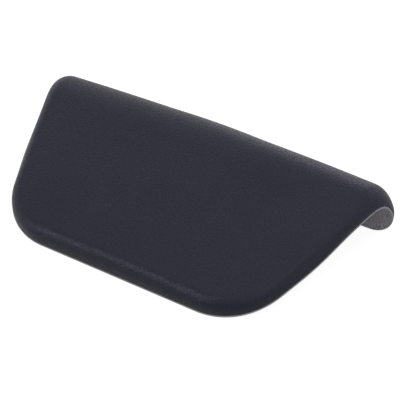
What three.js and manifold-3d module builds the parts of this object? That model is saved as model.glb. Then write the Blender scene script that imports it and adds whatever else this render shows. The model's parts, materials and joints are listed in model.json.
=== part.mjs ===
// A bath pillow: a moulded foam pad that bends over the rim of a tub, held to the tub's wall
// by four suction cups that turn in sockets behind its leaf.
//
// Millimetres, +Z up. The pillow stands on its front edge and on the end of its flap, with the
// bather's side towards -Y. Its origin is the middle of its bounding box, at the bottom.
//
// A place on the pad is written (x, s, n): x across the middle line, s along the back face from
// the front edge up and over the bend, and n out of the back face towards the bather.

import * as THREE from 'three';
import { mergeVertices } from 'three/addons/utils/BufferGeometryUtils.js';
import Module from 'manifold-3d';

const wasm = await Module();
wasm.setup();

// Back face of the pad, laid flat
const leafLength = 123.6;
const bendLength = 52.9;
const flapLength = 8.3;
const bendTurnDegrees = 106.6;
const ridgeWidth = 323.4;
const sideTaperDegrees = 17.6;

// Corners of the outline: at the front the pad's body is squarer than its foot and the sheet
const footCornerRadius = 55.8;
const bodyCornerRadius = 54.8;
const flapCornerRadius = 19.5;
const sheetFlange = 0.3;

// Swell of the sides, more at the foot than in the body, and of the ridge's middle
const footSwell = 2.4;
const bodySwell = 0.3;
const sideSwellRun = 71.6;
const sideSwellReach = 50;
const ridgeSwell = 0.9;
const ridgeSwellReach = 63;

// Thickness of the pad, built up from the back face
const sheetThickness = 2;
const leafPadHeight = 12.3;
const flapPadHeight = 13.5;
const crownHeight = 3.35;
const skinThickness = 1.6;
const layerGap = 0.3;

// Rounded edge between the wall and the face
const leafEdgeReach = 7.8;
const flapEdgeReach = 17.5;
const edgeFullness = 2.0;
const wallLean = 2;
const untuckedRiseShare = 0.45;
const thinningStartShare = 0.76;

// Suction cup, hanging from its socket by a necked head
const cupRadius = 19;
const cupReach = 8;
const cupLipThickness = 1.2;
const cupDomeRise = 5.2;
const cupHollowDepth = 3.6;
const sealingRingWidth = 1.6;
const cupBossRadius = 7;
const neckRadius = 4;
const headRadius = 6.2;
const headHeight = 4;
const headUndercut = 0.6;
const tabWidth = 8;
const tabLength = 7;
const tabThickness = 0.8;
const tabRoot = 1.5;

// Socket for a cup, moulded into the foam behind the sheet
const socketNoseRadius = 7.4;
const socketLipThickness = 2.4;
const socketFlangeRadius = 13;
const socketFlangeThickness = 1.2;
const socketWallThickness = 1.4;
const socketChamfer = 0.8;
const turningGap = 0.35;
const headroom = 1.2;

// Places of the four cups, two near the front edge and two wider apart under the bend,
// as shares of the leaf's length and of its half width there
const frontCupRunShare = 0.46;
const frontCupOffsetShare = 0.4;
const rearCupRunShare = 0.8;
const rearCupOffsetShare = 0.72;

// How finely the curves are cut into facets
const profileSteps = 600;
const rowSteps = 400;
const rows = 20;
const straightSteps = 3;
const cornerSteps = 4;
const skinEdgeRings = 5;
const innerEdgeRings = 4;
const longestFacet = 26;
const bendFacetTurn = THREE.MathUtils.degToRad(9);
const cornerFacetTurn = THREE.MathUtils.degToRad(14);
const cupSegments = 28;
const socketSegments = 24;
const domeSteps = 5;
const headSteps = 3;
const tabEndSteps = 6;
const cutOverrun = 1;

// Values worked out from the sizes above
const fullTurn = 2 * Math.PI;
const quarterTurn = fullTurn / 4;
const middleShare = 0.5;
const bendTurn = THREE.MathUtils.degToRad(bendTurnDegrees);
const sideTaper = THREE.MathUtils.degToRad(sideTaperDegrees);
const padRun = leafLength + bendLength + flapLength;
const ridgeRun = leafLength + bendLength * middleShare;
const padFoot = sheetThickness + layerGap;
const thinningStart = leafLength * thinningStartShare;
const thinningEnd = leafLength + bendLength;

// Heading of the back face against the leaf: it eases into the bend and out of it again
function headingAt(s) {
  const through = THREE.MathUtils.clamp((s - leafLength) / bendLength, 0, 1);
  return -bendTurn * (through - Math.sin(fullTurn * through) / fullTurn);
}

// Side view of the back face, walked from the front edge in small steps
function walkProfile() {
  const points = [new THREE.Vector2(0, 0)];
  const step = padRun / profileSteps;
  for (let i = 0; i < profileSteps; i += 1) {
    const heading = headingAt((i + middleShare) * step);
    const stride = new THREE.Vector2(Math.cos(heading), Math.sin(heading)).multiplyScalar(step);
    points.push(points[i].clone().add(stride));
  }
  return points;
}

const profile = walkProfile();

// Point of the pad at (x, s, n), with the leaf lying level
function place(x, s, n) {
  const inside = THREE.MathUtils.clamp(s, 0, padRun);
  const along = (inside / padRun) * profileSteps;
  const index = Math.min(Math.floor(along), profileSteps - 1);
  const point = profile[index].clone().lerp(profile[index + 1], along - index);
  const heading = headingAt(inside);
  const y = point.x + (s - inside) * Math.cos(heading) - n * Math.sin(heading);
  const z = point.y + (s - inside) * Math.sin(heading) + n * Math.cos(heading);
  return new THREE.Vector3(x, y, z);
}

function halfWidthAt(s) {
  return ridgeWidth / 2 - Math.tan(sideTaper) * (ridgeRun - s);
}

// Height of the pad's wall over its foot: the pad thins towards the flap
function padHeightAt(s) {
  return THREE.MathUtils.lerp(leafPadHeight, flapPadHeight, thinningAt(s));
}

function edgeReachAt(s) {
  return THREE.MathUtils.lerp(leafEdgeReach, flapEdgeReach, thinningAt(s));
}

function thinningAt(s) {
  return THREE.MathUtils.smoothstep(s, thinningStart, thinningEnd);
}

function crownAt(x) {
  const out = x / (ridgeWidth / 2);
  return crownHeight * Math.max(1 - out * out, 0) + ridgeSwell * swellShare(x / ridgeSwellReach);
}

// Share of a swell at a distance from its middle, given as a share of its reach
function swellShare(distance) {
  const share = Math.cos(quarterTurn * THREE.MathUtils.clamp(distance, -1, 1));
  return share * share;
}

// Outline: a trapezoid with round corners, grown outwards by a margin

// Round corner between the side and a straight edge, with its middle at s
function cornerMiddle(grow, radius, s) {
  return { x: halfWidthAt(s) + (grow - radius) / Math.cos(sideTaper), s, radius };
}

function arcPoint(corner, angle) {
  const out = { x: Math.cos(angle), s: Math.sin(angle) };
  return { x: corner.x + corner.radius * out.x, s: corner.s + corner.radius * out.s, out };
}

// Angle of the outline's outward direction at s, on the stretch between the two corners' middles
function outwardAngleAt(s, front, flap) {
  const onFront = (s - front.s) / front.radius;
  const onFlap = (s - flap.s) / flap.radius;
  if (onFront < -Math.sin(sideTaper)) return Math.asin(onFront);
  if (onFlap > -Math.sin(sideTaper)) return Math.asin(onFlap);
  return -sideTaper;
}

function sidePoint(s, grow, front, flap) {
  const angle = outwardAngleAt(s, front, flap);
  if (s < front.s - front.radius * Math.sin(sideTaper)) return arcPoint(front, angle);
  if (s > flap.s - flap.radius * Math.sin(sideTaper)) return arcPoint(flap, angle);
  const out = { x: Math.cos(sideTaper), s: -Math.sin(sideTaper) };
  return { x: halfWidthAt(s) + grow / Math.cos(sideTaper), s, out };
}

// Rows up the side, crowded where the face bends and where the outline turns
function rowRuns(from, to, front, flap) {
  const runs = [];
  const crowding = [0];
  for (let i = 0; i <= rowSteps; i += 1) runs.push(THREE.MathUtils.lerp(from, to, i / rowSteps));
  for (let i = 0; i < rowSteps; i += 1) {
    const bend = Math.abs(headingAt(runs[i + 1]) - headingAt(runs[i])) / bendFacetTurn;
    const ahead = outwardAngleAt(runs[i + 1], front, flap);
    const turn = Math.abs(ahead - outwardAngleAt(runs[i], front, flap)) / cornerFacetTurn;
    const length = (runs[i + 1] - runs[i]) / longestFacet;
    crowding.push(crowding[i] + Math.max(bend, turn, length));
  }
  const places = [];
  for (let row = 0; row <= rows; row += 1) {
    const wanted = (crowding[rowSteps] * row) / rows;
    const index = Math.max(crowding.findIndex((value) => value >= wanted), 1);
    const share = (wanted - crowding[index - 1]) / (crowding[index] - crowding[index - 1]);
    places.push(THREE.MathUtils.lerp(runs[index - 1], runs[index], share));
  }
  return places;
}

// The whole outline, counter-clockwise seen from the bather's side, from the front edge's middle
function padOutline(grow, frontRadius, swell) {
  const front = cornerMiddle(grow, frontRadius, frontRadius - grow);
  const flap = cornerMiddle(grow, flapCornerRadius, padRun + grow - flapCornerRadius);
  const frontMiddle = -(quarterTurn + sideTaper) / 2;
  const flapMiddle = (quarterTurn - sideTaper) / 2;
  const half = [];
  for (let i = 0; i < straightSteps; i += 1) {
    half.push({ x: (front.x * i) / straightSteps, s: -grow, out: { x: 0, s: -1 } });
  }
  for (let i = 0; i < cornerSteps; i += 1) {
    half.push(arcPoint(front, THREE.MathUtils.lerp(-quarterTurn, frontMiddle, i / cornerSteps)));
  }
  const from = arcPoint(front, frontMiddle).s;
  const to = arcPoint(flap, flapMiddle).s;
  for (const s of rowRuns(from, to, front, flap)) half.push(sidePoint(s, grow, front, flap));
  for (let i = 1; i <= cornerSteps; i += 1) {
    half.push(arcPoint(flap, THREE.MathUtils.lerp(flapMiddle, quarterTurn, i / cornerSteps)));
  }
  for (let i = 1; i <= straightSteps; i += 1) {
    half.push({ x: flap.x * (1 - i / straightSteps), s: padRun + grow, out: { x: 0, s: 1 } });
  }
  for (const point of half) {
    point.x += swell * swellShare((point.s - sideSwellRun) / sideSwellReach) * point.out.x;
  }
  const mirrored = ({ x, s, out }) => ({ x: -x, s, out: { x: -out.x, s: out.s } });
  return [...half, ...half.slice(1, -1).reverse().map(mirrored)];
}

const footOutline = padOutline(0, footCornerRadius, footSwell);
const bodyOutline = padOutline(0, bodyCornerRadius, bodySwell);

// Surfaces of the pad, as points (x, s, n) on rings that run inwards to a grid

// Outline of the pad part of the way up its wall: the corners fill out from the foot to the body
function wallOutline(rise) {
  const share = Math.min(rise / untuckedRiseShare, 1);
  return footOutline.map((foot, index) => {
    const body = bodyOutline[index];
    const mix = (from, to) => THREE.MathUtils.lerp(from, to, share);
    const out = { x: mix(foot.out.x, body.out.x), s: mix(foot.out.s, body.out.s) };
    return { x: mix(foot.x, body.x), s: mix(foot.s, body.s), out };
  });
}

// One ring of the rounded edge, at an angle that runs from the wall's foot to the face
function edgeRing(angle, layer) {
  const flatness = Math.cos(angle) ** (2 / edgeFullness);
  const rise = Math.sin(angle) ** (2 / edgeFullness);
  return wallOutline(rise).map((point) => {
    const reach = edgeReachAt(point.s) - layer.inset;
    const inset = layer.inset + reach * (1 - flatness) + wallLean * rise * flatness;
    const x = point.x - inset * point.out.x;
    const s = point.s - inset * point.out.s;
    return { x, s, n: padFoot + (padHeightAt(s) + crownAt(x) - layer.drop) * rise };
  });
}

function edgeRings(count, layer) {
  const rings = [];
  for (let i = 0; i <= count; i += 1) rings.push(edgeRing((quarterTurn * i) / count, layer));
  return rings;
}

// Grid that fills a ring: its four sides are the ring's, and the inside is blended from them
function fillRing(ring, heightAt) {
  const corner = straightSteps + cornerSteps;
  const columns = 2 * corner;
  const at = (index) => ring[(index + ring.length) % ring.length];
  const frontSide = (i) => at(i - corner);
  const flapSide = (i) => at(corner + rows + columns - i);
  const leftSide = (j) => at(corner + rows + columns + rows - j);
  const rightSide = (j) => at(corner + j);
  const shareOf = (side, i, last, axis) => {
    const start = side(0)[axis];
    return (side(i)[axis] - start) / (side(last)[axis] - start);
  };
  const grid = [];
  for (let j = 0; j <= rows; j += 1) {
    const v = shareOf(rightSide, j, rows, 's');
    const row = [];
    for (let i = 0; i <= columns; i += 1) {
      const u = (shareOf(frontSide, i, columns, 'x') + shareOf(flapSide, i, columns, 'x')) / 2;
      const blend = (axis) => {
        const ends = (1 - v) * frontSide(i)[axis] + v * flapSide(i)[axis];
        const sides = (1 - u) * leftSide(j)[axis] + u * rightSide(j)[axis];
        const low = (1 - u) * frontSide(0)[axis] + u * frontSide(columns)[axis];
        const high = (1 - u) * flapSide(0)[axis] + u * flapSide(columns)[axis];
        return ends + sides - (1 - v) * low - v * high;
      };
      const inside = { x: blend('x'), s: blend('s') };
      row.push({ ...inside, n: heightAt(inside.x, inside.s) });
    }
    grid.push(row);
  }
  for (let i = 0; i <= columns; i += 1) {
    grid[0][i] = frontSide(i);
    grid[rows][i] = flapSide(i);
  }
  for (let j = 0; j <= rows; j += 1) {
    grid[j][0] = leftSide(j);
    grid[j][columns] = rightSide(j);
  }
  return grid;
}

// Faces gathered as loose triangles in the pad's own space, then joined at their shared points
class Skin {
  constructor() {
    this.positions = [];
  }

  // Two triangles on four corners, folded along one diagonal or the other
  quad([a, b, c, d], folded, overturned) {
    const triangles = folded ? [[a, b, d], [b, c, d]] : [[a, b, c], [a, c, d]];
    for (const triangle of triangles) {
      if (overturned) triangle.reverse();
      for (const { x, s, n } of triangle) this.positions.push(...place(x, s, n).toArray());
    }
  }

  // Strip between two rings, facing the bather unless it is turned over
  strip(outer, inner, overturned) {
    for (let i = 0; i < outer.length; i += 1) {
      const next = (i + 1) % outer.length;
      this.quad([outer[i], outer[next], inner[next], inner[i]], i >= outer.length / 2, overturned);
    }
  }

  // Rings and their filling, with the folds on the left the mirror image of those on the right
  cover(rings, grid, overturned) {
    for (let k = 0; k + 1 < rings.length; k += 1) this.strip(rings[k], rings[k + 1], overturned);
    for (let j = 0; j + 1 < grid.length; j += 1) {
      for (let i = 0; i + 1 < grid[j].length; i += 1) {
        const corners = [grid[j][i], grid[j][i + 1], grid[j + 1][i + 1], grid[j + 1][i]];
        this.quad(corners, i < straightSteps + cornerSteps, overturned);
      }
    }
  }

  geometry() {
    const loose = new THREE.BufferGeometry();
    loose.setAttribute('position', new THREE.Float32BufferAttribute(this.positions, 3));
    return mergeVertices(loose);
  }
}

// Crowned face of one layer, from the rounded edge's foot to its filling
function crownedFace(count, layer) {
  const rings = edgeRings(count, layer);
  const heightAt = (x, s) => padFoot + padHeightAt(s) - layer.drop + crownAt(x);
  return { rings, grid: fillRing(rings[count], heightAt) };
}

// Face that follows the back at one height, under the same outline and filling
function levelFace(outline, inset, height) {
  const ringAt = (share) => outline.map((point) => {
    const reach = THREE.MathUtils.lerp(inset, edgeReachAt(point.s), share);
    return { x: point.x - reach * point.out.x, s: point.s - reach * point.out.s, n: height };
  });
  const rings = [ringAt(0), ringAt(1)];
  return { rings, grid: fillRing(rings[1], () => height) };
}

// Booleans

function toSolid(geometry) {
  const bare = new THREE.BufferGeometry();
  bare.setAttribute('position', geometry.getAttribute('position').clone());
  if (geometry.index) bare.setIndex(geometry.index.clone());
  const merged = mergeVertices(bare);
  const vertProperties = new Float32Array(merged.getAttribute('position').array);
  const triVerts = new Uint32Array(merged.index.array);
  return new wasm.Manifold(new wasm.Mesh({ numProp: 3, vertProperties, triVerts }));
}

function toGeometry(solid) {
  const mesh = solid.getMesh();
  const geometry = new THREE.BufferGeometry();
  geometry.setAttribute('position', new THREE.Float32BufferAttribute(mesh.vertProperties, 3));
  geometry.setIndex([...mesh.triVerts]);
  return geometry;
}

// Solid turned about the pad's n axis from a profile of radius and height
function turned(points, segments) {
  const vectors = points.map(([radius, height]) => new THREE.Vector2(radius, height));
  return new THREE.LatheGeometry(vectors, segments).rotateX(quarterTurn);
}

function plug(radius, low, high, segments) {
  return turned([[0, low], [radius, low], [radius, high], [0, high]], segments);
}

// Pieces

// Dense outer skin of the pad, a tray that opens towards the backing sheet
function padSkin() {
  const outside = crownedFace(skinEdgeRings, { inset: 0, drop: 0 });
  const inside = crownedFace(innerEdgeRings, { inset: skinThickness, drop: skinThickness });
  const skin = new Skin();
  skin.cover(outside.rings, outside.grid, false);
  skin.cover(inside.rings, inside.grid, true);
  skin.strip(outside.rings[0], inside.rings[0], true);
  return skin.geometry();
}

// Foam that fills the skin, with a pocket for each socket
function foamCore(cups) {
  const inset = skinThickness + layerGap;
  const face = crownedFace(innerEdgeRings, { inset, drop: inset });
  const base = levelFace(footOutline, inset, padFoot);
  const skin = new Skin();
  skin.cover(face.rings, face.grid, false);
  skin.cover(base.rings, base.grid, true);
  let solid = toSolid(skin.geometry());
  for (const cup of cups) solid = solid.subtract(toSolid(atCup(socketPocket(), cup)));
  return toGeometry(solid);
}

// Backing sheet with its narrow flange all round and a hole for each socket's nose
function backSheet(cups) {
  const outline = padOutline(sheetFlange, footCornerRadius + sheetFlange, footSwell);
  const back = levelFace(outline, 0, 0);
  const front = levelFace(outline, 0, sheetThickness);
  const skin = new Skin();
  skin.cover(front.rings, front.grid, false);
  skin.cover(back.rings, back.grid, true);
  skin.strip(back.rings[0], front.rings[0], false);
  let solid = toSolid(skin.geometry());
  const hole = plug(socketNoseRadius + layerGap, -cutOverrun, sheetThickness + cutOverrun, socketSegments);
  for (const cup of cups) solid = solid.subtract(toSolid(atCup(hole, cup)));
  return toGeometry(solid);
}

// Heights in a socket, out of the back face
const cavityRadius = headRadius + turningGap;
const socketBodyRadius = cavityRadius + socketWallThickness;
const headBottom = socketLipThickness + turningGap;
const cavityTop = headBottom + headHeight + headroom;
const socketTop = cavityTop + socketWallThickness;
const flangeTop = padFoot + socketFlangeThickness;

function cupSocket() {
  const throatRadius = neckRadius + turningGap;
  return turned([
    [0, cavityTop],
    [cavityRadius - socketChamfer, cavityTop],
    [cavityRadius, cavityTop - socketChamfer],
    [cavityRadius, socketLipThickness],
    [throatRadius, socketLipThickness],
    [throatRadius, socketChamfer],
    [throatRadius + socketChamfer, 0],
    [socketNoseRadius, 0],
    [socketNoseRadius, padFoot],
    [socketFlangeRadius, padFoot],
    [socketFlangeRadius, flangeTop],
    [socketBodyRadius, flangeTop],
    [socketBodyRadius, socketTop - socketChamfer],
    [socketBodyRadius - socketChamfer, socketTop],
    [0, socketTop],
  ], socketSegments);
}

// Room for a socket in the foam
function socketPocket() {
  return turned([
    [0, -cutOverrun],
    [socketFlangeRadius + layerGap, -cutOverrun],
    [socketFlangeRadius + layerGap, flangeTop + layerGap],
    [socketBodyRadius + layerGap, flangeTop + layerGap],
    [socketBodyRadius + layerGap, socketTop + layerGap],
    [0, socketTop + layerGap],
  ], socketSegments);
}

// Suction cup: a domed disc with a boss, a neck and a head, and a tab on its lip to peel it off
function suctionCup() {
  const lip = -cupReach;
  const shoulder = -turningGap;
  const hollowRadius = cupRadius - sealingRingWidth;
  const points = [];
  for (let i = 0; i <= domeSteps; i += 1) {
    const radius = (hollowRadius * i) / domeSteps;
    points.push([radius, lip + cupHollowDepth * (1 - (radius / hollowRadius) ** 2)]);
  }
  points.push([cupRadius, lip]);
  for (let i = 0; i <= domeSteps; i += 1) {
    const radius = THREE.MathUtils.lerp(cupRadius, cupBossRadius, i / domeSteps);
    points.push([radius, lip + cupLipThickness + cupDomeRise * (1 - (radius / cupRadius) ** 2)]);
  }
  points.push(
    [cupBossRadius, shoulder],
    [neckRadius, shoulder],
    [neckRadius, headBottom],
    [headRadius - headUndercut, headBottom],
    [headRadius, headBottom + headUndercut],
  );
  const headShoulder = headHeight / 2;
  for (let i = 0; i <= headSteps; i += 1) {
    const angle = (quarterTurn * i) / headSteps;
    const height = headBottom + headShoulder * (1 + Math.sin(angle));
    points.push([i < headSteps ? headRadius * Math.cos(angle) : 0, height]);
  }
  return toGeometry(toSolid(turned(points, cupSegments)).add(toSolid(peelTab())));
}

// Round-ended tab, lifted a little off the sealing plane
function peelTab() {
  const root = cupRadius - tabRoot;
  const endMiddle = cupRadius + tabLength - tabWidth / 2;
  const shape = new THREE.Shape();
  shape.moveTo(root, -tabWidth / 2);
  shape.lineTo(endMiddle, -tabWidth / 2);
  shape.absarc(endMiddle, 0, tabWidth / 2, -quarterTurn, quarterTurn, false);
  shape.lineTo(root, tabWidth / 2);
  shape.closePath();
  const settings = { depth: tabThickness, bevelEnabled: false, curveSegments: tabEndSteps };
  const lift = (cupLipThickness - tabThickness) / 2 - cupReach;
  return new THREE.ExtrudeGeometry(shape, settings).translate(0, 0, lift);
}

function atCup(geometry, cup) {
  return geometry.clone().translate(cup.x, cup.s, 0);
}

// Materials

function finish(color, roughness) {
  return new THREE.MeshStandardMaterial({ color, roughness, metalness: 0 });
}

const skinFinish = () => finish(0x34343e, 0.55);
const foamFinish = () => finish(0x5b5b60, 0.95);
const sheetFinish = () => finish(0x57575d, 0.8);
const socketFinish = () => finish(0x26262a, 0.45);
const cupFinish = () => finish(0xb9bfc4, 0.25);

function part(name, geometry, material) {
  geometry.deleteAttribute('normal');
  geometry.deleteAttribute('uv');
  const mesh = new THREE.Mesh(geometry, material);
  mesh.name = name;
  geometry.computeVertexNormals();
  return mesh;
}

// Assembly, with the leaf level and its back face at zero height

function cupPair(runShare, offsetShare) {
  const s = leafLength * runShare;
  const x = halfWidthAt(s) * offsetShare;
  return [{ x: -x, s }, { x, s }];
}

const cups = [
  ...cupPair(frontCupRunShare, frontCupOffsetShare),
  ...cupPair(rearCupRunShare, rearCupOffsetShare),
];

const pillow = new THREE.Group();
pillow.add(part('pad_skin', padSkin(), skinFinish()));
pillow.add(part('foam_core', foamCore(cups), foamFinish()));
pillow.add(part('back_sheet', backSheet(cups), sheetFinish()));
cups.forEach((cup, index) => {
  const socket = part(`cup_socket_${index + 1}`, cupSocket(), socketFinish());
  const suction = part(`suction_cup_${index + 1}`, suctionCup(), cupFinish());
  socket.position.set(cup.x, cup.s, 0);
  suction.position.set(cup.x, cup.s, 0);
  if (cup.x < 0) suction.rotation.z = fullTurn / 2;
  pillow.add(socket, suction);
});

// Stand the pillow on its front edge and the end of its flap
const frontEdge = place(0, -sheetFlange, 0);
const flapEnd = place(0, padRun + sheetFlange, 0);
pillow.rotation.x = -Math.atan2(flapEnd.z - frontEdge.z, flapEnd.y - frontEdge.y);

const bathPillow = new THREE.Group();
bathPillow.add(pillow);
const box = new THREE.Box3().setFromObject(bathPillow, true);
const middle = box.getCenter(new THREE.Vector3());
pillow.position.set(-middle.x, -middle.y, -box.min.z);

export default bathPillow;
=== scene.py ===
import json
import math

import bpy
from mathutils import Matrix, Vector, noise


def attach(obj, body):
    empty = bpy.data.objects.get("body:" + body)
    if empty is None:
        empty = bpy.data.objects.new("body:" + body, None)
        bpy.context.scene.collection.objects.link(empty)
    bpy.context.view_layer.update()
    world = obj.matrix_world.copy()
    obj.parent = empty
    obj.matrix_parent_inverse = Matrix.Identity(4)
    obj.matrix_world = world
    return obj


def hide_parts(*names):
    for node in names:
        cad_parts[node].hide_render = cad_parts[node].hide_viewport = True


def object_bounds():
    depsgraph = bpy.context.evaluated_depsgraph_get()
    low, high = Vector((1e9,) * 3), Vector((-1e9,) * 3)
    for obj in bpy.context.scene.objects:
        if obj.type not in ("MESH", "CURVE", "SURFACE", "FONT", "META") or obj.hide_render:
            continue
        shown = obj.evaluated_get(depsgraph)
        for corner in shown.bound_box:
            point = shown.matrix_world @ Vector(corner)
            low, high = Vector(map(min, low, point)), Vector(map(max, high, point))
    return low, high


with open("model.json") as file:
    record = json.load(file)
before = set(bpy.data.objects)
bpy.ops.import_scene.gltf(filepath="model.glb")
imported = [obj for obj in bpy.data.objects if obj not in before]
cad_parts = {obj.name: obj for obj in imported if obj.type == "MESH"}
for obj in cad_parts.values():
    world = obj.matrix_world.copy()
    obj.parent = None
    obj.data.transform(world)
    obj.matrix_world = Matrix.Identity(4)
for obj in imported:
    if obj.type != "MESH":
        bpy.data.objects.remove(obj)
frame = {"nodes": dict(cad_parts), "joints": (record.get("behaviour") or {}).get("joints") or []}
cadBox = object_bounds()

# Bath pillow: a moulded foam pad that bends over the rim of a tub, with suction cups behind it.
# Metres, +Z up, -Y the bather's side. A place on the pad is (x, s, n): x across, s along the back
# face from the front edge up and over the bend, n out of the back face towards the bather.

padForm = {
    'leafLength': 0.1236, 'bendLength': 0.0529, 'flapLength': 0.0083,
    'bendTurn': math.radians(106.6),
    'leafSlope': math.radians(15.5569012),      # the leaf leans back this much as it stands
    'frontEdge': (-0.0849261, 0.0001169),       # y and z of the back face at the front edge
    'ridgeWidth': 0.3234, 'sideTaper': math.radians(17.6),
    'footCorner': 0.0558, 'bodyCorner': 0.0548, 'flapCorner': 0.0195,
    'foot': 0.0023,                             # the backing, and the gap between it and the pad
    'leafHeight': 0.0123, 'flapHeight': 0.0135, 'crown': 0.00335,
    'leafReach': 0.0108, 'flapReach': 0.0175,   # how far the rounded edge runs in over the face
    'leafFullness': 2.4, 'flapFullness': 2.0,   # 2 is a round edge, more is a squarer one
    'wallLean': 0.0020,                         # how far in the wall leans at its top
    'untucked': 0.45,                           # share of its height where the wall has filled out
    'thinning': 0.76,                           # share of the leaf after which its section changes
    'footSwell': 0.0024, 'bodySwell': 0.0003, 'sideSwellRun': 0.0716, 'sideSwellReach': 0.050,
    'ridgeSwell': 0.0009, 'ridgeSwellReach': 0.063,
}

padMesh = {'straight': 20, 'corner': 12, 'rows': 104, 'edgeRings': 16, 'liningRings': 8}

padSampling = {
    'profileSteps': 1600, 'runSteps': 2000,
    'rowBend': math.radians(9), 'rowTurn': math.radians(14), 'rowLength': 0.012,
    'pinDigits': 7,                             # places that agree to 0.1 micron are one point
}

padRun = padForm['leafLength'] + padForm['bendLength'] + padForm['flapLength']
ridgeRun = padForm['leafLength'] + padForm['bendLength'] / 2


def mix(a, b, share):
    return a + (b - a) * share


def smooth(value, low, high):
    share = min(max((value - low) / (high - low), 0), 1)
    return share * share * (3 - 2 * share)


# which way the back face heads at s, seen from the side: the bend eases in and out
def headingAt(s):
    through = min(max((s - padForm['leafLength']) / padForm['bendLength'], 0), 1)
    return -padForm['bendTurn'] * (through - math.sin(math.tau * through) / math.tau)


def walkProfile(steps):
    points = [(0.0, 0.0)]
    stride = padRun / steps
    for i in range(steps):
        heading = headingAt((i + 0.5) * stride)
        y, z = points[-1]
        points.append((y + stride * math.cos(heading), z + stride * math.sin(heading)))
    return points


profile = walkProfile(padSampling['profileSteps'])


def padPoint(x, s, n):
    inside = min(max(s, 0), padRun)
    along = inside / padRun * (len(profile) - 1)
    i = min(int(along), len(profile) - 2)
    heading = headingAt(inside)
    y = mix(profile[i][0], profile[i + 1][0], along - i)
    z = mix(profile[i][1], profile[i + 1][1], along - i)
    y += (s - inside) * math.cos(heading) - n * math.sin(heading)
    z += (s - inside) * math.sin(heading) + n * math.cos(heading)
    lean = padForm['leafSlope']
    return Vector((x,
                   padForm['frontEdge'][0] + y * math.cos(lean) - z * math.sin(lean),
                   padForm['frontEdge'][1] + y * math.sin(lean) + z * math.cos(lean)))


def halfWidthAt(s):
    return padForm['ridgeWidth'] / 2 - math.tan(padForm['sideTaper']) * (ridgeRun - s)


def thinningAt(s):
    return smooth(s, padForm['leafLength'] * padForm['thinning'],
                  padForm['leafLength'] + padForm['bendLength'])


def padHeightAt(s):
    return mix(padForm['leafHeight'], padForm['flapHeight'], thinningAt(s))


def edgeReachAt(s):
    return mix(padForm['leafReach'], padForm['flapReach'], thinningAt(s))


# share of a swell at a distance from its middle, given as a share of its reach
def swellShare(distance):
    return math.cos(math.pi / 2 * min(max(distance, -1), 1)) ** 2


def crownAt(x):
    arch = padForm['crown'] * max(1 - (2 * x / padForm['ridgeWidth']) ** 2, 0)
    return arch + padForm['ridgeSwell'] * swellShare(x / padForm['ridgeSwellReach'])


# the moulded face is never dead flat: waves per metre across and along, a level and a depth
faceWaves = ((14, 17, 3.1, 0.00032), (42, 45, 8.7, 0.00008))


def sinkAt(x, s):
    return sum(depth * noise.noise(Vector((x * across, s * along, level)))
               for across, along, level, depth in faceWaves)


# The outline is a trapezoid with round corners. Its points are (x, s, outX, outS), where the last
# two say which way is outwards. A corner is (x, s, radius) of its circle.


def cornerMiddle(grow, radius, s):
    return halfWidthAt(s) + (grow - radius) / math.cos(padForm['sideTaper']), s, radius


def arcPoint(corner, angle):
    x, s, radius = corner
    outX, outS = math.cos(angle), math.sin(angle)
    return x + radius * outX, s + radius * outS, outX, outS


def outwardAngle(s, front, flap):
    onFront, onFlap = (s - front[1]) / front[2], (s - flap[1]) / flap[2]
    if onFront < -math.sin(padForm['sideTaper']):
        return math.asin(onFront)
    if onFlap > -math.sin(padForm['sideTaper']):
        return math.asin(onFlap)
    return -padForm['sideTaper']


def sidePoint(s, grow, front, flap):
    taper = padForm['sideTaper']
    if s < front[1] - front[2] * math.sin(taper):
        return arcPoint(front, outwardAngle(s, front, flap))
    if s > flap[1] - flap[2] * math.sin(taper):
        return arcPoint(flap, outwardAngle(s, front, flap))
    return halfWidthAt(s) + grow / math.cos(taper), s, math.cos(taper), -math.sin(taper)


# rows are crowded where the face bends and where the outline turns
def rowRuns(low, high, front, flap, rows):
    steps = padSampling['runSteps']
    runs = [mix(low, high, i / steps) for i in range(steps + 1)]
    crowding = [0.0]
    for a, b in zip(runs, runs[1:]):
        bend = abs(headingAt(b) - headingAt(a)) / padSampling['rowBend']
        turned = abs(outwardAngle(b, front, flap) - outwardAngle(a, front, flap))
        needed = max(bend, turned / padSampling['rowTurn'], (b - a) / padSampling['rowLength'])
        crowding.append(crowding[-1] + needed)
    places, i = [], 1
    for row in range(rows + 1):
        wanted = crowding[-1] * row / rows
        while i < steps and crowding[i] < wanted:
            i += 1
        share = (wanted - crowding[i - 1]) / (crowding[i] - crowding[i - 1])
        places.append(mix(runs[i - 1], runs[i], share))
    return places


def padOutline(grow, frontRadius, swell, mesh):
    taper, flapRadius = padForm['sideTaper'], padForm['flapCorner']
    front = cornerMiddle(grow, frontRadius, frontRadius - grow)
    flap = cornerMiddle(grow, flapRadius, padRun + grow - flapRadius)
    frontAngle, flapAngle = -(math.pi / 2 + taper) / 2, (math.pi / 2 - taper) / 2
    straight, corner = mesh['straight'], mesh['corner']
    half = [(front[0] * i / straight, -grow, 0.0, -1.0) for i in range(straight)]
    half += [arcPoint(front, mix(-math.pi / 2, frontAngle, i / corner)) for i in range(corner)]
    low, high = arcPoint(front, frontAngle)[1], arcPoint(flap, flapAngle)[1]
    half += [sidePoint(s, grow, front, flap) for s in rowRuns(low, high, front, flap, mesh['rows'])]
    half += [arcPoint(flap, mix(flapAngle, math.pi / 2, i / corner)) for i in range(1, corner + 1)]
    half += [(flap[0] * (1 - i / straight), padRun + grow, 0.0, 1.0)
             for i in range(1, straight + 1)]
    run, reach = padForm['sideSwellRun'], padForm['sideSwellReach']
    half = [(x + swell * swellShare((s - run) / reach) * outX, s, outX, outS)
            for x, s, outX, outS in half]
    return half + [(-x, s, -outX, outS) for x, s, outX, outS in reversed(half[1:-1])]


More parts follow.
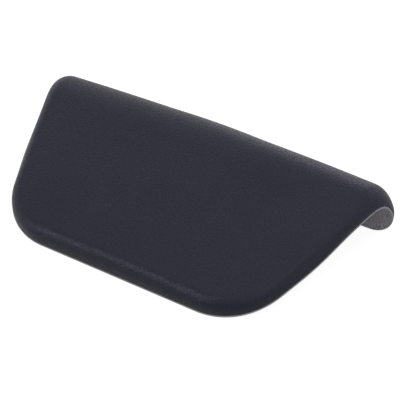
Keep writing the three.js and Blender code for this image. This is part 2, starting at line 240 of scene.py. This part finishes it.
def padOutlines(mesh):
    return (padOutline(0, padForm['footCorner'], padForm['footSwell'], mesh),
            padOutline(0, padForm['bodyCorner'], padForm['bodySwell'], mesh))


# the corners fill out from the foot to the body as the wall rises
def wallOutline(rise, outlines):
    share = min(rise / padForm['untucked'], 1)
    return [tuple(mix(a, b, share) for a, b in zip(foot, body)) for foot, body in zip(*outlines)]


# one ring of wall and rounded edge, from the foot at angle 0 to the face at a right angle
def edgeRing(angle, layer, outlines):
    ring = []
    for outlineX, outlineS, outX, outS in wallOutline(math.sin(angle), outlines):
        fullness = mix(padForm['leafFullness'], padForm['flapFullness'], thinningAt(outlineS))
        power = 2 / fullness
        flatness = math.cos(angle) ** power if angle < math.pi / 2 else 0.0
        rise = math.sin(angle) ** power
        reach = edgeReachAt(outlineS) - layer['inset']
        inset = layer['inset'] + reach * (1 - flatness) + padForm['wallLean'] * rise * flatness
        x, s = outlineX - inset * outX, outlineS - inset * outS
        height = padHeightAt(s) + crownAt(x) + sinkAt(x, s) - layer['inset']
        ring.append((x, s, padForm['foot'] + height * rise))
    return ring


def faceHeight(layer):
    def heightAt(x, s):
        height = padForm['foot'] + padHeightAt(s) - layer['inset']
        return height + crownAt(x) + sinkAt(x, s)
    return heightAt


# a grid that fills a ring: its four sides are the ring's, and the inside is blended from them
def fillRing(ring, heightAt, mesh):
    corner, rows = mesh['straight'] + mesh['corner'], mesh['rows']
    columns, count = 2 * corner, len(ring)
    front = [ring[(i - corner) % count] for i in range(columns + 1)]
    flap = [ring[(corner + rows + columns - i) % count] for i in range(columns + 1)]
    right = [ring[(corner + j) % count] for j in range(rows + 1)]
    left = [ring[(corner + 2 * rows + columns - j) % count] for j in range(rows + 1)]

    def shareOf(side, i, axis):
        return (side[i][axis] - side[0][axis]) / (side[-1][axis] - side[0][axis])

    grid = []
    for j in range(rows + 1):
        v = shareOf(right, j, 1)
        row = []
        for i in range(columns + 1):
            u = (shareOf(front, i, 0) + shareOf(flap, i, 0)) / 2
            place = []
            for axis in (0, 1):
                ends = mix(front[i][axis], flap[i][axis], v)
                sides = mix(left[j][axis], right[j][axis], u)
                low = mix(front[0][axis], front[-1][axis], u)
                high = mix(flap[0][axis], flap[-1][axis], u)
                place.append(ends + sides - mix(low, high, v))
            row.append((place[0], place[1], heightAt(*place)))
        grid.append(row)
    grid[0], grid[rows] = front, flap
    for j in range(rows + 1):
        grid[j][0], grid[j][columns] = left[j], right[j]
    return grid


# a body is built of quads whose corners are pinned at places on the pad
def newBody():
    return {'points': [], 'index': {}, 'faces': []}


def pin(body, place):
    key = tuple(round(value, padSampling['pinDigits']) for value in place)
    if key not in body['index']:
        body['index'][key] = len(body['points'])
        body['points'].append(padPoint(*place))
    return body['index'][key]


def addQuad(body, places, turned):
    corners = [pin(body, place) for place in places]
    body['faces'].append(corners[::-1] if turned else corners)


def addStrip(body, outer, inner, turned):
    for i in range(len(outer)):
        j = (i + 1) % len(outer)
        addQuad(body, (outer[i], outer[j], inner[j], inner[i]), turned)


def addFace(body, rings, grid, turned):
    for outer, inner in zip(rings, rings[1:]):
        addStrip(body, outer, inner, turned)
    for low, high in zip(grid, grid[1:]):
        for i in range(len(low) - 1):
            addQuad(body, (low[i], low[i + 1], high[i + 1], high[i]), turned)


def makePiece(name, body):
    mesh = bpy.data.meshes.new(name)
    mesh.from_pydata(body['points'], [], body['faces'])
    mesh.validate()
    mesh.update()
    piece = bpy.data.objects.new(name, mesh)
    bpy.context.scene.collection.objects.link(piece)
    return piece


def activate(piece):
    bpy.ops.object.select_all(action='DESELECT')
    piece.select_set(True)
    bpy.context.view_layer.objects.active = piece


def smoothByAngle(piece, degrees):
    activate(piece)
    bpy.ops.object.shade_smooth_by_angle(angle=math.radians(degrees))


skinForm = {'thickness': 0.0016, 'smoothAngle': 50}


def cushionFace(rings, layer, outlines, mesh):
    edge = [edgeRing(math.pi / 2 * i / rings, layer, outlines) for i in range(rings + 1)]
    return edge, fillRing(edge[-1], faceHeight(layer), mesh)


def makeSkin():
    outlines = padOutlines(padMesh)
    lining = {'inset': skinForm['thickness']}
    outside = cushionFace(padMesh['edgeRings'], {'inset': 0.0}, outlines, padMesh)
    inside = cushionFace(padMesh['liningRings'], lining, outlines, padMesh)
    body = newBody()
    addFace(body, *outside, False)
    addFace(body, *inside, True)
    addStrip(body, outside[0][0], inside[0][0], True)
    piece = makePiece('moulded_skin', body)
    smoothByAngle(piece, skinForm['smoothAngle'])
    return piece


foamMesh = {'straight': 10, 'corner': 7, 'rows': 52, 'edgeRings': 7}

foamForm = {
    'gap': 0.0003,                              # between the skin and the foam
    'baseInsets': (0.008, 0.014),               # rings between the foam's foot and its middle
    'smoothAngle': 35,
}


def levelRing(outline, inset, n):
    return [(x - inset * outX, s - inset * outS, n) for x, s, outX, outS in outline]


def makeFoam():
    outlines, foot = padOutlines(foamMesh), padForm['foot']
    inset = skinForm['thickness'] + foamForm['gap']
    body = newBody()
    face = cushionFace(foamMesh['edgeRings'], {'inset': inset}, outlines, foamMesh)
    addFace(body, *face, False)
    base = [levelRing(outlines[0], reach, foot) for reach in (inset, *foamForm['baseInsets'])]
    addFace(body, base, fillRing(base[-1], lambda x, s: foot, foamMesh), True)
    return makePiece('foam_filling', body)


sheetForm = {
    'thickness': 0.002, 'flange': 0.0003, 'edgeRound': 0.0009, 'roundSteps': 4,
    'insets': (0.0014, 0.004, 0.014),           # rings between the cut edge and the sheet's middle
    'smoothAngle': 35,
}


def makeSheet():
    grow = sheetForm['flange']
    outline = padOutline(grow, padForm['footCorner'] + grow, padForm['footSwell'], padMesh)
    radius, thickness = sheetForm['edgeRound'], sheetForm['thickness']
    edge = []
    for middle, low, high in ((radius, -90, 0), (thickness - radius, 0, 90)):
        for i in range(sheetForm['roundSteps'] + 1):
            angle = math.radians(mix(low, high, i / sheetForm['roundSteps']))
            inset, height = radius * (1 - math.cos(angle)), middle + radius * math.sin(angle)
            edge.append(levelRing(outline, inset, height))
    body = newBody()
    for lower, upper in zip(edge, edge[1:]):
        addStrip(body, lower, upper, False)
    for start, height, turned in ((edge[0], 0.0, True), (edge[-1], thickness, False)):
        rings = [start] + [levelRing(outline, inset, height) for inset in sheetForm['insets']]
        addFace(body, rings, fillRing(rings[-1], lambda x, s: height, padMesh), turned)
    sheet = makePiece('backing_sheet', body)
    # the edge rings carry a mask for a painted highlight: a pale band along the rim
    mask = sheet.data.attributes.new('paintedRimHighlight', 'FLOAT', 'POINT')
    for ring in edge:
        for place in ring:
            mask.data[pin(body, place)].value = 1.0
    return sheet


# where the cups and sockets sit comes from the frame's joints, and their tabs point to the sides
cupPlaces = []
for joint in frame['joints']:
    middle, up = Vector(joint['pos_m']), Vector(joint['axis'])
    across = Vector((1 if middle.x > 0 else -1, 0, 0))
    turn = Matrix((across, up.cross(across), up)).transposed()
    cupPlaces.append({'body': joint['child'], 'number': joint['child'][-1],
                      'place': Matrix.Translation(middle) @ turn.to_4x4()})


# nothing stays selected, so that edges or faces can be picked in code
def clearPicks(piece, kind):
    activate(piece)
    bpy.ops.object.mode_set(mode='EDIT')
    bpy.ops.mesh.select_mode(type=kind)
    bpy.ops.mesh.select_all(action='DESELECT')
    bpy.ops.object.mode_set(mode='OBJECT')


# a turned piece, drawn ring by ring from a small disc: each ring is (radius, height)
def turnPiece(name, rings, steps):
    (radius, height), rest = rings[0], rings[1:]
    bpy.ops.object.select_all(action='DESELECT')
    bpy.ops.mesh.primitive_circle_add(vertices=steps, radius=radius, fill_type='TRIFAN',
                                      location=(0, 0, height))
    piece = bpy.context.object
    piece.name = piece.data.name = name
    bpy.ops.object.transform_apply(location=True)
    clearPicks(piece, 'EDGE')
    for edge in piece.data.edges:
        ends = [piece.data.vertices[i].co.xy.length for i in edge.vertices]
        edge.select = min(ends) > radius / 2
    bpy.ops.object.mode_set(mode='EDIT')
    for nextRadius, nextHeight in rest:
        rise, share = nextHeight - height, nextRadius / radius
        bpy.ops.mesh.extrude_edges_move(TRANSFORM_OT_translate={'value': (0, 0, rise)})
        bpy.ops.transform.resize(value=(share, share, 1), center_override=(0, 0, nextHeight))
        radius, height = nextRadius, nextHeight
    bpy.ops.mesh.edge_face_add()
    bpy.ops.mesh.poke()
    bpy.ops.mesh.select_all(action='SELECT')
    bpy.ops.mesh.normals_make_consistent(inside=False)
    bpy.ops.object.mode_set(mode='OBJECT')
    return piece


def applyModifier(piece, kind, name, **settings):
    modifier = piece.modifiers.new(name, kind)
    for key, value in settings.items():
        setattr(modifier, key, value)
    activate(piece)
    bpy.ops.object.modifier_apply(modifier=modifier.name)


cupForm = {
    'radius': 0.019, 'reach': 0.008, 'lip': 0.0012, 'dome': 0.0052, 'hollow': 0.0036,
    'seal': 0.0016, 'boss': 0.007, 'neck': 0.004, 'neckTop': 0.00275, 'head': 0.0062,
    'headHeight': 0.004, 'undercut': 0.0006, 'gap': 0.00035,
    'lipRound': 0.0003, 'lipRoundMiddle': (0.00008, 0.00009), 'bossRound': 0.0002,
    'steps': 64, 'hollowRings': 12, 'domeRings': 12, 'headRings': 8,
    'softEdge': 0.0001, 'smoothAngle': 40,
}

tabForm = {
    'width': 0.008, 'length': 0.007, 'thickness': 0.0008,
    'bite': 0.00098, 'facing': 0.9,             # which faces of the lip the tab is drawn from
    'root': 0.0012,                             # the run in which the lip thins down to the tab
    'rounds': 6, 'blunt': 6.4,                  # the round end stops just short of its tip
}


def cupRings():
    form = cupForm
    lip, rim, lipRound = -form['reach'], form['radius'], form['lipRound']
    hollow = rim - form['seal']
    rings = []
    for i in range(1, form['hollowRings'] + 1):
        radius = hollow * i / form['hollowRings']
        rings.append((radius, lip + form['hollow'] * (1 - (radius / hollow) ** 2)))
    inwards, upwards = form['lipRoundMiddle']
    rings += [(rim - lipRound, lip), (rim - inwards, lip + upwards), (rim, lip + lipRound)]
    for i in range(form['domeRings'] + 1):
        radius = mix(rim, form['boss'], i / form['domeRings'])
        rings.append((radius, lip + form['lip'] + form['dome'] * (1 - (radius / rim) ** 2)))
    boss, bossRound, top = form['boss'], form['bossRound'], -form['gap']
    rings += [(boss, top - bossRound), (boss - bossRound, top), (form['neck'], top)]
    rings += [(form['neck'], form['neckTop']), (form['head'] - form['undercut'], form['neckTop'])]
    rings.append((form['head'], form['neckTop'] + form['undercut']))
    for i in range(form['headRings']):
        angle = math.pi / 2 * i / form['headRings']
        height = form['neckTop'] + form['headHeight'] / 2 * (1 + math.sin(angle))
        rings.append((form['head'] * math.cos(angle), height))
    return rings


def drawOut(run, share, middle):
    bpy.ops.mesh.extrude_region_move(TRANSFORM_OT_translate={'value': (run, 0, 0)})
    bpy.ops.transform.resize(value=share, center_override=middle)


# the tab is drawn out of the lip's side, flattened and rounded off
def drawTab(piece):
    form, rim, lip = tabForm, cupForm['radius'], cupForm['lip']
    middle = -cupForm['reach'] + lip / 2
    clearPicks(piece, 'FACE')
    for face in piece.data.polygons:
        x, y, z = face.center
        onLip = x > rim - form['bite'] and abs(z - middle) < lip / 2
        onTab = abs(y) < form['width'] / 2 and face.normal.x > form['facing']
        face.select = onLip and onTab
    bpy.ops.object.mode_set(mode='EDIT')
    straight = form['length'] - form['width'] / 2
    drawOut(form['root'], (1, 1, form['thickness'] / lip), (0, 0, middle))
    drawOut(straight - form['root'], (0, 1, 1), (rim + straight, 0, 0))
    width, run = 1.0, 0.0
    for i in range(1, form['rounds'] + 1):
        angle = math.pi / 2 * i / form['blunt']
        step = form['width'] / 2 * math.sin(angle) - run
        drawOut(step, (1, math.cos(angle) / width, 1), (0, 0, middle))
        width, run = math.cos(angle), run + step
    bpy.ops.object.mode_set(mode='OBJECT')


def makeCups():
    pattern = turnPiece('suction_disc', cupRings(), cupForm['steps'])
    drawTab(pattern)
    applyModifier(pattern, 'BEVEL', 'softEdges', width=cupForm['softEdge'], segments=2,
                  limit_method='ANGLE', angle_limit=math.radians(cupForm['smoothAngle']))
    smoothByAngle(pattern, cupForm['smoothAngle'])
    cups = []
    for spot in cupPlaces:
        cup = pattern.copy()
        cup.data = pattern.data.copy()
        cup.name = cup.data.name = 'suction_disc_' + spot['number']
        bpy.context.scene.collection.objects.link(cup)
        cup.data.transform(spot['place'])
        cups.append(cup)
    bpy.data.objects.remove(pattern)
    return cups


# the foam and the backing are cut round the sockets
socketForm = {
    'nose': 0.0074, 'flange': 0.013, 'flangeTop': 0.0035, 'body': 0.00795, 'top': 0.00935,
    'gap': 0.0003,
    'through': (-0.001, 0.003),                 # the hole in the backing runs past both its faces
    'sheetSteps': 96, 'foamSteps': 48,
}


def sheetRoom():
    hole = socketForm['nose'] + socketForm['gap']
    return [(hole, height) for height in socketForm['through']]


def foamRoom():
    form, gap = socketForm, socketForm['gap']
    wide, narrow = form['flange'] + gap, form['body'] + gap
    shelf, top = form['flangeTop'] + gap, form['top'] + gap
    return [(wide, 0.0), (wide, shelf), (narrow, shelf), (narrow, top)]


def cutAtSockets(piece, rings, steps):
    for spot in cupPlaces:
        cutter = turnPiece('socket_room', rings, steps)
        cutter.data.transform(spot['place'])
        applyModifier(piece, 'BOOLEAN', 'room', object=cutter, operation='DIFFERENCE',
                      solver='EXACT')
        bpy.data.objects.remove(cutter)


print('skin, foam and backing')
skin, foam, sheet = makeSkin(), makeFoam(), makeSheet()
cutAtSockets(sheet, sheetRoom(), socketForm['sheetSteps'])
cutAtSockets(foam, foamRoom(), socketForm['foamSteps'])
smoothByAngle(sheet, sheetForm['smoothAngle'])
smoothByAngle(foam, foamForm['smoothAngle'])

print('suction cups')
cups = makeCups()


def newMaterial(name):
    material = bpy.data.materials.new(name)
    material.use_nodes = True
    nodes = material.node_tree.nodes
    nodes.clear()
    shader = nodes.new('ShaderNodeBsdfPrincipled')
    output = nodes.new('ShaderNodeOutputMaterial')
    material.node_tree.links.new(shader.outputs['BSDF'], output.inputs['Surface'])
    return material, nodes, material.node_tree.links, shader


def newGroup(name, inputs, outputs):
    group = bpy.data.node_groups.new(name, 'ShaderNodeTree')
    for label, kind, value in inputs:
        socket = group.interface.new_socket(label, in_out='INPUT', socket_type=kind)
        if value is not None:
            socket.default_value = value
    for label, kind in outputs:
        group.interface.new_socket(label, in_out='OUTPUT', socket_type=kind)
    nodes = group.nodes
    return group, nodes, group.links, nodes.new('NodeGroupInput'), nodes.new('NodeGroupOutput')


def addMath(nodes, links, operation, *values):
    node = nodes.new('ShaderNodeMath')
    node.operation = operation
    for socket, value in zip(node.inputs, values):
        if isinstance(value, (int, float)):
            socket.default_value = value
        else:
            links.new(value, socket)
    return node.outputs[0]


def addRange(nodes, links, value, low, high, newLow=0.0, newHigh=1.0):
    node = nodes.new('ShaderNodeMapRange')
    node.inputs['From Min'].default_value = low
    node.inputs['From Max'].default_value = high
    node.inputs['To Min'].default_value = newLow
    node.inputs['To Max'].default_value = newHigh
    links.new(value, node.inputs['Value'])
    return node.outputs['Result']


def addMix(nodes, links, share, a, b):
    node = nodes.new('ShaderNodeMix')
    node.data_type = 'RGBA'
    links.new(share, node.inputs['Factor'])
    for socket, value in ((node.inputs['A'], a), (node.inputs['B'], b)):
        if isinstance(value, tuple):
            socket.default_value = value
        else:
            links.new(value, socket)
    return node.outputs['Result']


def addBump(nodes, links, height, strength, distance):
    node = nodes.new('ShaderNodeBump')
    node.inputs['Strength'].default_value = strength
    node.inputs['Distance'].default_value = distance
    links.new(height, node.inputs['Height'])
    return node.outputs['Normal']


# two masks in one, each by its share
def blendMasks(nodes, links, a, shareOfA, b, shareOfB):
    scaled = addMath(nodes, links, 'MULTIPLY', b, shareOfB)
    return addMath(nodes, links, 'MULTIPLY_ADD', a, shareOfA, scaled)


grainForm = {
    'drift': 0.6, 'driftDetail': 2, 'smoothness': 0.35,
    'edge': 0.75, 'top': 0.1,                   # distances from a pebble's middle
    'pores': 3.2, 'poreDetail': 4, 'poreHeight': 0.45,
}


# fine pebbled grain, as pressed into a moulded skin: a height and a mask of the pebbles' tops
def makeGrain():
    form = grainForm
    inputs = (('Vector', 'NodeSocketVector', None), ('Pebble', 'NodeSocketFloat', 0.001),
              ('Warp', 'NodeSocketFloat', 0.35))
    outputs = (('Height', 'NodeSocketFloat'), ('Tops', 'NodeSocketFloat'))
    group, nodes, links, start, end = newGroup('pebbledGrain', inputs, outputs)
    perMetre = addMath(nodes, links, 'DIVIDE', 1.0, start.outputs['Pebble'])
    scaled = nodes.new('ShaderNodeVectorMath')
    scaled.operation = 'SCALE'
    links.new(start.outputs['Vector'], scaled.inputs[0])
    links.new(perMetre, scaled.inputs['Scale'])
    drift = nodes.new('ShaderNodeTexNoise')
    drift.inputs['Scale'].default_value = form['drift']
    drift.inputs['Detail'].default_value = form['driftDetail']
    links.new(scaled.outputs[0], drift.inputs['Vector'])
    moved = nodes.new('ShaderNodeVectorMath')
    moved.operation = 'MULTIPLY_ADD'
    links.new(drift.outputs['Color'], moved.inputs[0])
    links.new(start.outputs['Warp'], moved.inputs[1])
    links.new(scaled.outputs[0], moved.inputs[2])
    cells = nodes.new('ShaderNodeTexVoronoi')
    cells.feature = 'SMOOTH_F1'
    cells.inputs['Smoothness'].default_value = form['smoothness']
    cells.inputs['Scale'].default_value = 1.0
    links.new(moved.outputs[0], cells.inputs['Vector'])
    pores = nodes.new('ShaderNodeTexNoise')
    pores.inputs['Scale'].default_value = form['pores']
    pores.inputs['Detail'].default_value = form['poreDetail']
    links.new(scaled.outputs[0], pores.inputs['Vector'])
    tops = addRange(nodes, links, cells.outputs['Distance'], form['edge'], form['top'])
    poreHeight = form['poreHeight']
    height = addMath(nodes, links, 'MULTIPLY_ADD', pores.outputs['Fac'], poreHeight, tops)
    links.new(height, end.inputs['Height'])
    links.new(tops, end.inputs['Tops'])
    return group


cloudForm = {'detail': 5, 'roughness': 0.55, 'low': 0.32, 'high': 0.68}


# cloudy change of tone and shine over a surface
def makeClouding():
    form = cloudForm
    inputs = (('Vector', 'NodeSocketVector', None), ('Size', 'NodeSocketFloat', 0.05))
    outputs = (('Share', 'NodeSocketFloat'),)
    group, nodes, links, start, end = newGroup('cloudyTone', inputs, outputs)
    perMetre = addMath(nodes, links, 'DIVIDE', 1.0, start.outputs['Size'])
    clouds = nodes.new('ShaderNodeTexNoise')
    clouds.inputs['Detail'].default_value = form['detail']
    clouds.inputs['Roughness'].default_value = form['roughness']
    links.new(start.outputs['Vector'], clouds.inputs['Vector'])
    links.new(perMetre, clouds.inputs['Scale'])
    share = addRange(nodes, links, clouds.outputs['Fac'], form['low'], form['high'])
    links.new(share, end.inputs['Share'])
    return group


grain, clouding = makeGrain(), makeClouding()


def placeGroup(nodes, links, group, vector, **values):
    node = nodes.new('ShaderNodeGroup')
    node.node_tree = group
    links.new(vector, node.inputs['Vector'])
    for key, value in values.items():
        node.inputs[key].default_value = value
    return node.outputs


def objectPoint(nodes):
    return nodes.new('ShaderNodeTexCoord').outputs['Object']


skinFinish = {
    'dark': (0.0056, 0.0055, 0.0124, 1), 'light': (0.0087, 0.0086, 0.0175, 1),
    'pebble': 0.0013, 'warp': 0.5, 'depth': 0.00018, 'clouds': 0.06, 'glint': 0.0016,
    'cloudShare': 0.5, 'pebbleShare': 0.5,      # what makes a place light
    'glintShare': 0.7, 'toneShare': 0.3,        # what makes a place shine
    'dull': 0.2, 'shiny': 0.9, 'roughness': (0.20, 0.52), 'specular': 0.26,
    'tint': (0.83, 0.83, 1.0, 1), 'sheen': 0.05, 'sheenRoughness': 0.3,
}


def makeSkinMaterial():
    finish = skinFinish
    material, nodes, links, shader = newMaterial('charcoalSkin')
    point = objectPoint(nodes)
    pebbles = placeGroup(nodes, links, grain, point, Pebble=finish['pebble'], Warp=finish['warp'])
    clouds = placeGroup(nodes, links, clouding, point, Size=finish['clouds'])
    tone = blendMasks(nodes, links, clouds['Share'], finish['cloudShare'],
                      pebbles['Tops'], finish['pebbleShare'])
    colour = addMix(nodes, links, tone, finish['dark'], finish['light'])
    glints = placeGroup(nodes, links, clouding, point, Size=finish['glint'])
    shine = blendMasks(nodes, links, glints['Share'], finish['glintShare'],
                       tone, finish['toneShare'])
    low, high = finish['roughness']
    roughness = addRange(nodes, links, shine, finish['dull'], finish['shiny'], high, low)
    normal = addBump(nodes, links, pebbles['Height'], 1.0, finish['depth'])
    links.new(colour, shader.inputs['Base Color'])
    links.new(roughness, shader.inputs['Roughness'])
    links.new(normal, shader.inputs['Normal'])
    shader.inputs['Specular IOR Level'].default_value = finish['specular']
    shader.inputs['Specular Tint'].default_value = finish['tint']
    shader.inputs['Sheen Weight'].default_value = finish['sheen']
    shader.inputs['Sheen Roughness'].default_value = finish['sheenRoughness']
    return material


sheetFinish = {
    'dark': (0.060, 0.056, 0.063, 1), 'light': (0.640, 0.620, 0.665, 1),
    # the edge colour is a painted highlight, a pale band along the rim of the backing
    'edge': (0.280, 0.274, 0.290, 1),
    'pebble': 0.0009, 'warp': 0.4, 'depth': 0.00012, 'clouds': 0.0013,
    'cloudShare': 0.6, 'pebbleShare': 0.4, 'roughness': 0.62, 'specular': 0.4,
}


def makeSheetMaterial():
    finish = sheetFinish
    material, nodes, links, shader = newMaterial('mottledBacking')
    point = objectPoint(nodes)
    pebbles = placeGroup(nodes, links, grain, point, Pebble=finish['pebble'], Warp=finish['warp'])
    clouds = placeGroup(nodes, links, clouding, point, Size=finish['clouds'])
    tone = blendMasks(nodes, links, clouds['Share'], finish['cloudShare'],
                      pebbles['Tops'], finish['pebbleShare'])
    mottling = addMix(nodes, links, tone, finish['dark'], finish['light'])
    # the rim of the backing is painted pale as a highlight
    paintedRimHighlight = nodes.new('ShaderNodeAttribute')
    paintedRimHighlight.attribute_name = 'paintedRimHighlight'
    colour = addMix(nodes, links, paintedRimHighlight.outputs['Fac'], mottling, finish['edge'])
    normal = addBump(nodes, links, pebbles['Height'], 1.0, finish['depth'])
    links.new(colour, shader.inputs['Base Color'])
    links.new(normal, shader.inputs['Normal'])
    shader.inputs['Roughness'].default_value = finish['roughness']
    shader.inputs['Specular IOR Level'].default_value = finish['specular']
    return material


foamFinish = {
    'dark': (0.09, 0.09, 0.095, 1), 'light': (0.16, 0.16, 0.165, 1),
    'cell': 0.0007, 'warp': 0.8, 'depth': 0.0003, 'roughness': 0.95,
}


def makeFoamMaterial():
    finish = foamFinish
    material, nodes, links, shader = newMaterial('openCellFoam')
    point = objectPoint(nodes)
    cells = placeGroup(nodes, links, grain, point, Pebble=finish['cell'], Warp=finish['warp'])
    colour = addMix(nodes, links, cells['Tops'], finish['dark'], finish['light'])
    normal = addBump(nodes, links, cells['Height'], 1.0, finish['depth'])
    links.new(colour, shader.inputs['Base Color'])
    links.new(normal, shader.inputs['Normal'])
    shader.inputs['Roughness'].default_value = finish['roughness']
    return material


socketFinish = {
    'dark': (0.014, 0.014, 0.016, 1), 'light': (0.021, 0.021, 0.023, 1),
    'speck': 0.0004, 'warp': 0.6, 'strength': 0.5, 'depth': 0.00003, 'clouds': 0.01,
    'roughness': 0.42,
}


def makeSocketMaterial():
    finish = socketFinish
    material, nodes, links, shader = newMaterial('socketMoulding')
    point = objectPoint(nodes)
    specks = placeGroup(nodes, links, grain, point, Pebble=finish['speck'], Warp=finish['warp'])
    clouds = placeGroup(nodes, links, clouding, point, Size=finish['clouds'])
    colour = addMix(nodes, links, clouds['Share'], finish['dark'], finish['light'])
    normal = addBump(nodes, links, specks['Height'], finish['strength'], finish['depth'])
    links.new(colour, shader.inputs['Base Color'])
    links.new(normal, shader.inputs['Normal'])
    shader.inputs['Roughness'].default_value = finish['roughness']
    return material


cupFinish = {
    'dark': (0.60, 0.64, 0.67, 1), 'light': (0.72, 0.76, 0.78, 1),
    'clouds': 0.012, 'strength': 0.4, 'depth': 0.0001, 'roughness': (0.16, 0.28),
    'clearness': 0.6, 'ior': 1.5,
}


def makeCupMaterial():
    finish = cupFinish
    material, nodes, links, shader = newMaterial('clearSoftVinyl')
    point = objectPoint(nodes)
    clouds = placeGroup(nodes, links, clouding, point, Size=finish['clouds'])
    colour = addMix(nodes, links, clouds['Share'], finish['dark'], finish['light'])
    roughness = addRange(nodes, links, clouds['Share'], 0, 1, *finish['roughness'])
    normal = addBump(nodes, links, clouds['Share'], finish['strength'], finish['depth'])
    links.new(colour, shader.inputs['Base Color'])
    links.new(roughness, shader.inputs['Roughness'])
    links.new(normal, shader.inputs['Normal'])
    shader.inputs['Transmission Weight'].default_value = finish['clearness']
    shader.inputs['IOR'].default_value = finish['ior']
    return material


def dress(piece, material):
    piece.data.materials.clear()
    piece.data.materials.append(material)


print('materials')
dress(skin, makeSkinMaterial())
dress(foam, makeFoamMaterial())
dress(sheet, makeSheetMaterial())
cupMaterial, socketMaterial = makeCupMaterial(), makeSocketMaterial()
for cup in cups:
    dress(cup, cupMaterial)
for spot in cupPlaces:
    dress(frame['nodes']['cup_socket_' + spot['number']], socketMaterial)

# what rides on what: piece, the node it replaces, and its slot
padPieces = ((skin, 'pad_skin', 'pad_skin'), (foam, 'foam_core', 'foam'),
             (sheet, 'back_sheet', 'backing'))
for piece, node, slot in padPieces:
    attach(piece, 'pad')
    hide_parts(node)
for cup, spot in zip(cups, cupPlaces):
    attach(cup, spot['body'])
    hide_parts('suction_cup_' + spot['number'])


# how white a ray sees the room: in full from the camera and through a cup, by a share in gloss
def seenShare(nodes, links, mirrored):
    path = nodes.new('ShaderNodeLightPath')
    glossy = addMath(nodes, links, 'MULTIPLY', path.outputs['Is Glossy Ray'], mirrored)
    seen = addMath(nodes, links, 'MAXIMUM', path.outputs['Is Camera Ray'], glossy)
    return addMath(nodes, links, 'MAXIMUM', seen, path.outputs['Is Transmission Ray'])


floorForm = {
    'size': 5.0, 'drop': 0.0002, 'white': (0.32, 0.32, 0.32, 1), 'roughness': 0.9,
    'specular': 0.1, 'lift': 0.88, 'mirrored': 0.55,
}


def makeFloor():
    form = floorForm
    bpy.ops.object.select_all(action='DESELECT')
    bpy.ops.mesh.primitive_plane_add(size=form['size'],
                                     location=(0, 0, cadBox[0].z - form['drop']))
    floor = bpy.context.object
    floor.name = 'floor'
    material, nodes, links, shader = newMaterial('paleFloor')
    shader.inputs['Base Color'].default_value = form['white']
    shader.inputs['Roughness'].default_value = form['roughness']
    shader.inputs['Specular IOR Level'].default_value = form['specular']
    shader.inputs['Emission Color'].default_value = (1, 1, 1, 1)
    seen = seenShare(nodes, links, form['mirrored'])
    lift = addMath(nodes, links, 'MULTIPLY', seen, form['lift'])
    links.new(lift, shader.inputs['Emission Strength'])
    dress(floor, material)


roomLight = {'world': 0.42, 'mirrored': 1.0}


def lightRoom():
    world = bpy.data.worlds.new('paleRoom')
    bpy.context.scene.world = world
    world.use_nodes = True
    nodes, links = world.node_tree.nodes, world.node_tree.links
    nodes.clear()
    background, output = nodes.new('ShaderNodeBackground'), nodes.new('ShaderNodeOutputWorld')
    background.inputs['Color'].default_value = (1, 1, 1, 1)
    links.new(background.outputs[0], output.inputs['Surface'])
    seen = seenShare(nodes, links, roomLight['mirrored'])
    strength = addRange(nodes, links, seen, 0, 1, roomLight['world'], 1.0)
    links.new(strength, background.inputs['Strength'])


cool, soft, plain = (0.80, 0.74, 1.0), (0.94, 0.90, 1.0), (1.0, 1.0, 1.0)

lamps = {
    'frontPanel': {'at': (-0.80, -1.52, 0.78), 'size': (0.6, 1.5), 'power': 13, 'colour': plain},
    'topPanel': {'at': (0.45, -0.10, 1.70), 'size': (1.5, 1.5), 'power': 5.5, 'colour': soft},
    'backPanel': {'at': (-0.66, 0.80, 1.45), 'size': (0.6, 0.9), 'power': 1.8, 'colour': cool},
    'lowBackPanel': {'at': (-0.32, 1.75, 0.34), 'size': (0.5, 0.5), 'power': 1.6, 'colour': cool},
    'leftPanel': {'at': (-1.60, 0.60, 0.55), 'size': (0.9, 0.9), 'power': 0.9, 'colour': cool},
    'rightPanel': {'at': (1.55, -0.45, 0.75), 'size': (1.5, 1.3), 'power': 6.0, 'colour': plain},
    'farRightPanel': {'at': (0.80, 1.35, 0.85), 'size': (0.7, 0.7), 'power': 3.0, 'colour': cool},
}


def addLamps():
    for name, lamp in lamps.items():
        light = bpy.data.lights.new(name, 'AREA')
        light.shape, light.energy = 'RECTANGLE', lamp['power']
        light.size, light.size_y = lamp['size']
        light.color = lamp['colour']
        holder = bpy.data.objects.new(name, light)
        holder.location = lamp['at']
        holder.rotation_mode = 'QUATERNION'
        holder.rotation_quaternion = (-Vector(lamp['at'])).to_track_quat('-Z', 'Y')
        bpy.context.scene.collection.objects.link(holder)


cameraView = {
    'azimuth': 32.376, 'elevation': 41.134, 'roll': -1.527, 'distance': 1.061056,
    'fov': 17.507, 'target': (0.019904, 0.009388, 0.018662), 'sensor': 36, 'clip': (0.01, 20),
}


def addCamera():
    angles = (cameraView[key] for key in ('azimuth', 'elevation', 'roll', 'fov'))
    a, e, r, fov = (math.radians(angle) for angle in angles)
    back = Vector((math.sin(a) * math.cos(e), -math.cos(a) * math.cos(e), math.sin(e)))
    right = Vector((math.cos(a), math.sin(a), 0))
    up = back.cross(right)
    turnedRight = right * math.cos(r) + up * math.sin(r)
    turnedUp = up * math.cos(r) - right * math.sin(r)
    camera = bpy.data.objects.new('photoCamera', bpy.data.cameras.new('photoCamera'))
    place = Matrix((turnedRight, turnedUp, back)).transposed().to_4x4()
    place.translation = Vector(cameraView['target']) + back * cameraView['distance']
    camera.matrix_world = place
    camera.data.sensor_width = cameraView['sensor']
    camera.data.lens = cameraView['sensor'] / 2 / math.tan(fov / 2)
    camera.data.clip_start, camera.data.clip_end = cameraView['clip']
    bpy.context.scene.collection.objects.link(camera)
    bpy.context.scene.camera = camera


print('floor, light and camera')
makeFloor()
lightRoom()
addLamps()
addCamera()
bpy.context.scene.view_settings.view_transform = 'Standard'
